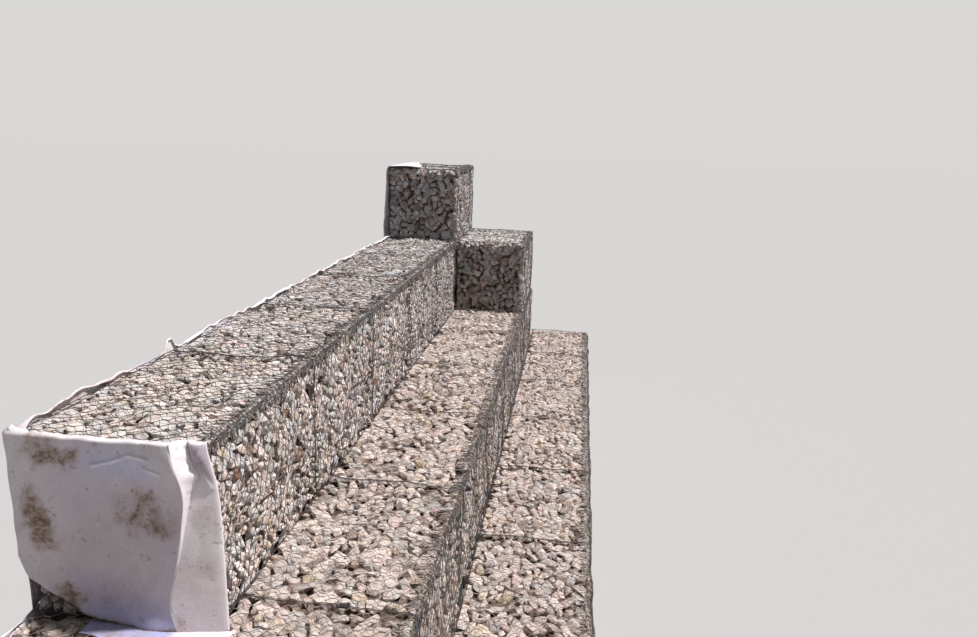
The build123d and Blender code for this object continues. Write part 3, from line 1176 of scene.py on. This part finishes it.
def cloth_material(colours):
    """White non-woven felt: matted fibres, wear and painted shade, soil stains, painted shadow lines
    and small dark scuffs.
    """
    look = Look(bpy.data.materials.new("geotextile_felt"))
    fibres = look.noise(420.0, 3.0, 0.7)
    matted = look.noise(60.0, 5.0, 0.6)
    cloudy = look.noise(2.2, 4.0, 0.55)
    blots = look.noise(17.0, 6.0, 0.68)
    fine = look.noise(75.0, 5.0, 0.7)
    flattened = look.node(
        "ShaderNodeMapping", None, {"Vector": look.coordinates(), "Scale": (1.0, 0.80, 1.2)})
    scuffs = look.noise(32.0, 4.0, 0.62, flattened)
    specks = look.noise(80.0, 4.0, 0.65)
    mottle = look.noise(11.0, 5.0, 0.65)
    soil_and_shade = look.attribute("soil_and_shade")
    # The grey over the white cloth: wear and painted shade, bluish where it is painted sky-lit shade.
    wear_and_shade = look.mix(look.attribute("cool"), colours.wear_and_shade, colours.shaded)
    greyed = look.attribute("wear_and_shade") * (0.78 + look.between(cloudy, 0.30, 0.70) * 0.40)
    colour = look.mix(greyed, colours.cloth, wear_and_shade)
    colour = look.mix(look.between(mottle, 0.50, 0.68) * greyed * 0.45, colour, FELT_MOTTLE)
    spread = soil_and_shade + (blots - 0.5) * 2.2 * (soil_and_shade + 0.25) + (fine - 0.5) * 1.4
    spread = spread + (scuffs - 0.5) * 2.0 * (soil_and_shade + 0.05)
    film = soil_and_shade + (blots - 0.5) * 0.9 * (soil_and_shade + 0.10)
    colour = look.coated(colour, film, 0.05, 0.95, 0.42, SOIL_FILM)
    # Soil stains, and the painted shadow lines that share their number.
    colour = look.coated(colour, spread, 0.20, 1.15, 0.78, colours.soil_and_shade)
    colour = look.coated(colour, spread, 0.85, 1.70, 0.55, DARK_SOIL)
    # Darkest where the number passes about one: the painted shadow lines, and the cores of the heaviest
    # stains.
    colour = look.coated(colour, soil_and_shade, 1.05, 1.45, 0.90, FOOT_SHADE)
    scuffed = scuffs + soil_and_shade * 0.08 + (mottle - 0.5) * 0.75
    colour = look.coated(colour, scuffed, 0.645, 0.74, 0.42, SCUFF)
    speckled = specks + soil_and_shade * 0.06 + (mottle - 0.5) * 0.30
    colour = look.coated(colour, speckled, 0.65, 0.74, 0.50, SPECK)
    level = 0.93 + (matted - 0.5) * 0.22 + (fibres - 0.5) * 0.10 + (mottle - 0.5) * 0.32
    colour = look.scaled(colour, level)
    return look.finish(Base_Color=colour, Roughness=0.92, Specular_IOR_Level=0.2, Sheen_Weight=0.15,
                       Normal=look.bump(fibres * 0.6 + matted, 0.0018, 0.6))


def floor_material(colours):
    """Plain pale studio floor."""
    look = Look(bpy.data.materials.new("studio_floor"))
    return look.finish(Base_Color=colour4(colours.floor), Roughness=0.9, Specular_IOR_Level=0.0)


def material(name, maker, context):
    """A material of a name, made once."""
    return bpy.data.materials.get(name) or maker(context.scene.wall_colours)


# Operators, one for each group of pieces

class WALL_OT_stone_fills(bpy.types.Operator):
    """Stones in every basket, in place of the plain fills"""

    bl_idname = "wall.stone_fills"
    bl_label = "Stone fills"

    def execute(self, context):
        sizes = context.scene.wall_sizes
        stone = material("broken_stone", stone_material, context)
        core = material("basket_core", core_material, context)
        for number, row in enumerate(ROWS):
            single = len(row.fills) == 1
            radius = sizes.small_radius if row is TOP else sizes.stone_radius
            patches = patches_of(row, sizes)
            for index, node in enumerate(row.fills):
                mine = [patch for bay, patch in patches if single or bay == index]
                start = row.low[0] if single else row.bay(index)[0]
                end = row.high[0] if single else row.bay(index)[1]
                travel = (start - TOP.low[0]) / TOP_LENGTH
                warm = 1.0 if row.high[2] < OVER_BENCH else -travel
                start += sizes.core_depth * (index == 0)
                end -= sizes.core_depth * (index == len(row.fills) - 1)
                low = np.array([start, row.low[1], row.low[2]])
                high = np.array([end, row.high[1], row.high[2]])
                name = node.replace("fills", "stones").replace("fill", "stones")
                finer = FIRST_BAY_FINENESS if index == 0 and row is TOP else 1.0
                seed = 1000 * number + 100 * index
                piece = stone_piece(name, mine, (low, high), finer * radius, sizes, seed, warm)
                place(piece, [stone, core], [node])
        return {"FINISHED"}


class WALL_OT_mesh_panels(bpy.types.Operator):
    """Hexagonal double-twist mesh over every free face of the baskets"""

    bl_idname = "wall.mesh_panels"
    bl_label = "Mesh panels"

    def execute(self, context):
        sizes = context.scene.wall_sizes
        wire = material("galvanised_wire", wire_material, context)
        for row in ROWS:
            points, faces = join([mesh_wires(patch, sizes) for _, patch in patches_of(row, sizes)])
            dusty = (points[:, 2] > row.high[2] - 0.03) & (row.high[2] < OVER_BENCH)
            piece = put_mesh(f"{row.name}_mesh", points, faces, {"dusty": dusty}, rounded=True)
            place(piece, [wire])
        return {"FINISHED"}


class WALL_OT_edge_wires(bpy.types.Operator):
    """Edge wires and lacing of every row, in place of the plain frames"""

    bl_idname = "wall.edge_wires"
    bl_label = "Edge wires and lacing"

    def execute(self, context):
        sizes = context.scene.wall_sizes
        wire = material("edge_wire", edge_material, context)
        for number, row in enumerate(ROWS):
            parts = []
            for index, (bay, patch) in enumerate(patches_of(row, sizes)):
                laced = bay < row.bays - 1
                parts += basket_edges(patch, sizes, 500 + 100 * number + index, laced)
            piece = put_mesh(f"{row.name}_edges", *join(parts), rounded=True)
            place(piece, [wire], [row.wires])
        return {"FINISHED"}


def lay_cloth(context, node, points, soil_and_shade, wear_and_shade, cool):
    """A geotextile piece in the place of a node and named after it."""
    piece = cloth_piece(f"{node}_cloth", points, context.scene.wall_sizes, soil_and_shade, wear_and_shade, cool)
    return place(piece, [material("geotextile_felt", cloth_material, context)], [node])


class WALL_OT_end_sheet(bpy.types.Operator):
    """Geotextile on the near end of the top course"""

    bl_idname = "wall.end_sheet"
    bl_label = "End sheet"

    def execute(self, context):
        points, climb = end_sheet_points()
        marks = [
            ([(1.37, 2.97), (1.38, 2.90)], 0.075, 0.65), ([(1.29, 2.91), (1.19, 2.92)], 0.055, 0.85),
            ([(1.40, 2.60), (1.38, 2.45)], 0.070, 0.88), ([(1.44, 2.70), (1.46, 2.50)], 0.060, 0.35),
            ([(0.755, 2.79), (0.885, 2.605)], 0.016, 0.50), ([(0.80, 2.71), (0.74, 2.63)], 0.100, 0.58),
            ([(0.94, 2.65), (0.95, 2.61)], 0.050, 0.36), ([(0.88, 2.575), (0.68, 2.58)], 0.045, 0.50),
            ([(1.29, 2.15), (1.26, 2.10)], 0.060, 0.90), ([(1.05, 2.16), (0.85, 2.13)], 0.060, 0.22),
        ]
        y, z = points[..., 1], points[..., 2]
        soil_and_shade = spread_marks(points, marks)
        # The sheet is grey, wear and painted shade, more so towards the bottom and less towards the back
        # edge.
        low_part = 1 - smooth(z, 2.0, 2.35)
        wear_and_shade = 0.56 + 0.32 * low_part * hill(y, 1.0, 0.35) + 0.10 * low_part - 0.18 * smooth(y, 1.15, 1.50)
        # The lip turned over onto the lid is left white, free of the painted shade.
        wear_and_shade = wear_and_shade * (1 - 0.75 * smooth(climb, 0.985, 1.0) * (1 - 0.8 * smooth(y, 1.38, 1.48)))
        # Painted highlights: lighter broken lines along the creases.
        broken = smooth(waves(points, 0.07, 50), -0.9, 0.6)
        wear_and_shade = wear_and_shade - 0.60 * broken * sum(from_line(y, z + 0.004, line, 0.006) for line in CREASES)
        # A painted shadow line along the sheet's foot.
        soil_and_shade = soil_and_shade + 1.5 * hill(climb, 0.0, 0.012) * (1 - smooth(y, 1.30, 1.36)) * smooth(y, 0.66, 0.70)
        # Bluish: painted sky-lit shade, by the upper creases and towards the bottom.
        cool = 1.5 * hill(y, 0.93, 0.22) * hill(z, 2.89, 0.080) + 0.35 * (1 - smooth(z, 2.05, 2.16))
        cool = cool + 0.32 * (1 - smooth(z, 2.06, 2.38))
        cool = np.clip(cool + 0.18 * waves(points, 0.45, 45), 0, 1)
        piece = lay_cloth(context, "end_sheet", points, soil_and_shade, wear_and_shade, cool)
        cloth_area(points)
        return {"FINISHED"}


class WALL_OT_corner_strip(bpy.types.Operator):
    """Geotextile strip at the front corner, turned out into the bright fold"""

    bl_idname = "wall.corner_strip"
    bl_label = "Corner strip"

    def execute(self, context):
        points, inner, outer, height = strip_points()
        soil_and_shade = 0.25 * hill(inner, 0.45, 0.4) * (hill(height, 0.68, 0.10) + hill(height, 0.37, 0.06))
        soil_and_shade = soil_and_shade + 0.5 * hill(inner, 0.95, 0.2) * hill(height, 0.05, 0.05)
        # Greyer near the foot and much greyer at the top, where it is painted shade; the fold stays white.
        wear_and_shade = flowing(
            height, (0.0, 0.07, 0.20, 0.40, 0.60, 0.82, 0.90, 1.02, 1.04),
            (0.55, 0.30, 0.0, 0.02, 0.20, 0.36, 0.95, 0.90, 0.20))
        wear_and_shade = wear_and_shade * (1 - smooth(outer, 0.0, 0.08)) * smooth(inner, 0.0, 0.05)
        piece = lay_cloth(context, "corner_strip", points, soil_and_shade, wear_and_shade, 0.0)
        cloth_area(points)
        return {"FINISHED"}


class WALL_OT_end_apron(bpy.types.Operator):
    """Foot of the end sheet, turned out on the bench"""

    bl_idname = "wall.end_apron"
    bl_label = "End apron"

    def execute(self, context):
        low, high = corners("end_apron")
        across, outward = np.meshgrid(np.linspace(0, 1, 50), np.linspace(0, 1, 22))
        y = low[1] + (high[1] - low[1]) * across
        flat = vectors(0.3 * outward, y, 0.0)
        reach = (high[0] - low[0]) * (0.80 + 0.12 * waves(flat * [0, 1, 0], 0.35, 61))
        reach = reach * (1 - 0.45 * smooth(across, 0.62, 1.0))
        x = high[0] - 0.006 - reach * outward
        z = low[2] + 0.007 + 0.010 * np.abs(waves(flat, 0.22, 62)) * smooth(outward, 0.1, 0.6)
        points = vectors(x, y, z)
        # Painted shade on the part under the sheet: greyer and bluish, with a painted shadow line along its
        # inner edge.
        shade = smooth(y, 0.64, 0.74)
        soil_and_shade = 0.25 * hill(across, 0.8, 0.2) + shade * (0.15 + 0.8 * (1 - smooth(outward, 0.0, 0.14)))
        piece = lay_cloth(context, "end_apron", points, soil_and_shade, 0.34 + 0.72 * shade, 1.3 * shade)
        area = cloth_area(points)
        return {"FINISHED"}


class WALL_OT_back_sheets(bpy.types.Operator):
    """Geotextile on the back of each course"""

    bl_idname = "wall.back_sheets"
    bl_label = "Back sheets"

    def execute(self, context):
        under = {
            "back_sheet_top": ["top_fill_1", "top_fill_6"],
            "back_sheet_middle": ["middle_back_fills"],
            "back_sheet_base": ["base_back_fills"],
        }
        for index, (node, held_by) in enumerate(under.items()):
            low, high = corners(node)
            columns = int((high[0] - low[0]) / 0.075)
            points = wavy_wall_points(low, high, BACK_FACE, columns, 20, 70 + 10 * index, 0.030)
            drop = (points[..., 2] - low[2]) / (high[2] - low[2])
            soil_and_shade = 0.34 * (1 - smooth(drop, 0.0, 0.45)) + 0.18 * waves(points, 1.3, 90 + index)
            soil_and_shade = soil_and_shade + 0.22 * hill(waves(points * [1.0, 1.0, 0.2], 0.7, 96 + index), 0.0, 0.12)
            wear_and_shade = np.clip(0.36 + 0.26 * waves(points, 0.8, 99 + index), 0, 1)
            piece = lay_cloth(context, node, points, soil_and_shade, wear_and_shade, 0.3)
            cloth_area(points) / (high[0] - low[0])
        return {"FINISHED"}


class WALL_OT_back_hem(bpy.types.Operator):
    """Upper edge of the back sheet, standing and folded along the lids"""

    bl_idname = "wall.back_hem"
    bl_label = "Back hem"

    def execute(self, context):
        low, high = corners("back_hem")
        columns, rows = 300, 11
        x, share = np.meshgrid(np.linspace(low[0] - 0.02, high[0], columns), np.linspace(0, 1, rows))
        past = x - END_X
        line = vectors(x, 0.0, 0.0)
        bunch = hill(past, 0.0, 0.09)
        stand = 0.028 + 0.012 * waves(line, 0.45, 81) + 0.007 * waves(line, 0.13, 82)
        stand = stand + 0.018 * hill(past, 0.43, 0.09) - 0.045 * hill(past, 1.25, 0.15)
        flap = smooth(past, 1.425, 1.445) * (1 - smooth(past, 1.515, 1.54))
        stand = stand + 0.050 * flap - 0.050 * hill(past, 1.63, 0.07) + 0.014 * bunch
        over = 0.018 + 0.010 * waves(line, 0.30, 83) + 0.034 * bunch
        skirt = 0.05
        travel = share * (skirt + stand + over)
        rise = np.minimum(travel, skirt + stand)
        fold = np.maximum(travel - skirt - stand, 0)
        loose = np.clip(rise - skirt, 0, 0.1) / 0.04
        y = BACK_FACE + 0.012 - 0.80 * fold + 0.010 * loose * waves(line, 0.35, 84)
        y = y + 0.005 * loose * waves(line, 0.10, 85) - 0.010 * loose
        z = high[2] - 0.004 - skirt + rise - 0.55 * fold
        points = vectors(x, y, z)
        soil_and_shade = 0.06 + 0.44 * hill(past, 0.32, 0.24) + 0.32 * hill(past, 0.80, 0.20)
        soil_and_shade = soil_and_shade + 0.60 * hill(past, 1.25, 0.20) + 0.16 * waves(line, 0.9, 86)
        wear_and_shade = 0.12 + 0.83 * hill(past, 0.0, 0.09)
        piece = lay_cloth(context, "back_hem", points, soil_and_shade, wear_and_shade, 0.0)
        length = high[0] - low[0]
        cloth_area(points) / length
        return {"FINISHED"}


class WALL_OT_raised_sheet(bpy.types.Operator):
    """Geotextile on the back of the raised basket, folded over its lid"""

    bl_idname = "wall.raised_sheet"
    bl_label = "Raised sheet"

    def execute(self, context):
        low, high = corners("raised_back_sheet")
        lid = ROW["raised_top"].high[2]
        columns, rows = 40, 44
        x, share = np.meshgrid(np.linspace(low[0] - 0.03, high[0], columns), np.linspace(0, 1, rows))
        along = (x - low[0]) / (high[0] - low[0])
        reach = 0.46 - 0.30 * smooth(along, 0.0, 1.0)
        rise = lid - low[2]
        travel = share * (rise + reach)
        upright = np.minimum(travel, rise)
        over = np.maximum(travel - rise, 0)
        flat = vectors(x, over, upright)
        flare = 0.060 * hill(x, low[0] - 0.03, 0.16) * (1 - upright / rise) ** 0.7
        y = BACK_FACE + 0.012 + flare + 0.012 * np.abs(waves(flat, 0.40, 91)) - over
        lift = (0.016 + 0.010 * np.abs(waves(flat, 0.20, 92))) * smooth(travel - rise, -0.03, 0.03)
        z = low[2] + upright + lift
        points = vectors(x, y, z)
        soil_and_shade = 0.15 * waves(flat, 0.5, 93)
        piece = lay_cloth(context, "raised_back_sheet", points, soil_and_shade, 0.15, 0.3)
        length = high[0] - low[0] + 0.03
        cloth_area(points) / length
        return {"FINISHED"}


# Stage

CAMERA_PLACE = (-7.605, -1.219, 4.508)
CAMERA_YAW = 0.1137
CAMERA_PITCH = 0.2402
CAMERA_ROLL = 0.0314
FOCAL_PIXELS = 755.0
PHOTO_WIDTH = 978.0
SENSOR = 36.0
SUN_STRENGTH = 5.0
SUN_ANGLE = 0.05
SUN_COLOUR = (1.0, 0.968, 0.942)
TOWARD_SUN = (0.03, -0.49, 0.87)
SKY_LIGHT = (0.90, 0.94, 1.0, 1.0)
SKY_STRENGTH = 0.20
SKY_SHOWN = (0.689, 0.678, 0.660, 1.0)
FLOOR_REACH = 150.0


def camera_turn():
    """Rotation of the camera: it looks along the wall, turned by the yaw, the pitch and the roll."""
    forward = np.array([
        np.cos(CAMERA_YAW) * np.cos(CAMERA_PITCH), np.sin(CAMERA_YAW) * np.cos(CAMERA_PITCH),
        -np.sin(CAMERA_PITCH)])
    right = np.array([np.sin(CAMERA_YAW), -np.cos(CAMERA_YAW), 0.0])
    upward = np.cross(right, forward)
    turned_right = np.cos(CAMERA_ROLL) * right + np.sin(CAMERA_ROLL) * upward
    turned_up = np.cos(CAMERA_ROLL) * upward - np.sin(CAMERA_ROLL) * right
    return np.stack([turned_right, turned_up, -forward], axis=1)


class WALL_OT_stage(bpy.types.Operator):
    """Camera, soft key light, pale floor and world"""

    bl_idname = "wall.stage"
    bl_label = "Stage"

    def execute(self, context):
        scene = context.scene
        scene.view_settings.view_transform = "Standard"
        camera = bpy.data.objects.new("camera", bpy.data.cameras.new("camera"))
        camera.data.sensor_width = SENSOR
        camera.data.lens = FOCAL_PIXELS / PHOTO_WIDTH * SENSOR
        camera.data.clip_end = 500.0
        camera.matrix_world = Matrix.Translation(CAMERA_PLACE) @ Matrix(camera_turn().tolist()).to_4x4()
        scene.collection.objects.link(camera)
        scene.camera = camera

        key = bpy.data.objects.new("key", bpy.data.lights.new("key", "SUN"))
        key.data.energy = SUN_STRENGTH
        key.data.angle = SUN_ANGLE
        key.data.color = SUN_COLOUR
        toward = unit(np.array(TOWARD_SUN))
        side = unit(np.cross(UP, toward))
        turn = np.stack([side, np.cross(toward, side), toward], axis=1)
        key.matrix_world = Matrix(turn.tolist()).to_4x4()
        scene.collection.objects.link(key)

        x, y = np.meshgrid([-FLOOR_REACH, FLOOR_REACH], [-FLOOR_REACH, FLOOR_REACH])
        ground = vectors(x, y, 0.0)
        floor = put_mesh("studio_floor", ground.reshape(-1, 3), [grid_faces(2, 2)])
        floor.data.materials.append(material("studio_floor", floor_material, context))

        sky = Look(bpy.data.worlds.new("studio"))
        light = sky.node("ShaderNodeBackground", None, {"Color": SKY_LIGHT, "Strength": SKY_STRENGTH})
        shown = sky.node("ShaderNodeBackground", None, {"Color": SKY_SHOWN})
        seen = sky.node("ShaderNodeLightPath")
        mixed = sky.node("ShaderNodeMixShader", None, {0: seen, 1: light, 2: shown})
        sky.node("ShaderNodeOutputWorld", None, {"Surface": mixed})
        scene.world = sky.owner
        return {"FINISHED"}


OPERATORS = (
    WALL_OT_stage,
    WALL_OT_stone_fills,
    WALL_OT_mesh_panels,
    WALL_OT_edge_wires,
    WALL_OT_end_sheet,
    WALL_OT_corner_strip,
    WALL_OT_end_apron,
    WALL_OT_back_sheets,
    WALL_OT_back_hem,
    WALL_OT_raised_sheet,
)


class WALL_PT_pieces(bpy.types.Panel):
    """Buttons for the pieces of the wall"""

    bl_idname = "WALL_PT_pieces"
    bl_label = "Gabion wall"
    bl_space_type = "VIEW_3D"
    bl_region_type = "UI"
    bl_category = "Gabion"

    def draw(self, context):
        for operator in OPERATORS:
            self.layout.operator(operator.bl_idname)


CLASSES = (WallSizes, WallColours, *OPERATORS, WALL_PT_pieces)


def register():
    for item in CLASSES:
        bpy.utils.register_class(item)
    bpy.types.Scene.wall_sizes = PointerProperty(type=WallSizes)
    bpy.types.Scene.wall_colours = PointerProperty(type=WallColours)


def unregister():
    del bpy.types.Scene.wall_colours
    del bpy.types.Scene.wall_sizes
    for item in reversed(CLASSES):
        bpy.utils.unregister_class(item)


def main():
    register()
    bpy.ops.wall.stage()
    bpy.ops.wall.stone_fills()
    bpy.ops.wall.mesh_panels()
    bpy.ops.wall.edge_wires()
    bpy.ops.wall.end_sheet()
    bpy.ops.wall.corner_strip()
    bpy.ops.wall.end_apron()
    bpy.ops.wall.back_sheets()
    bpy.ops.wall.back_hem()
    bpy.ops.wall.raised_sheet()


if __name__ == "__main__":
    main()
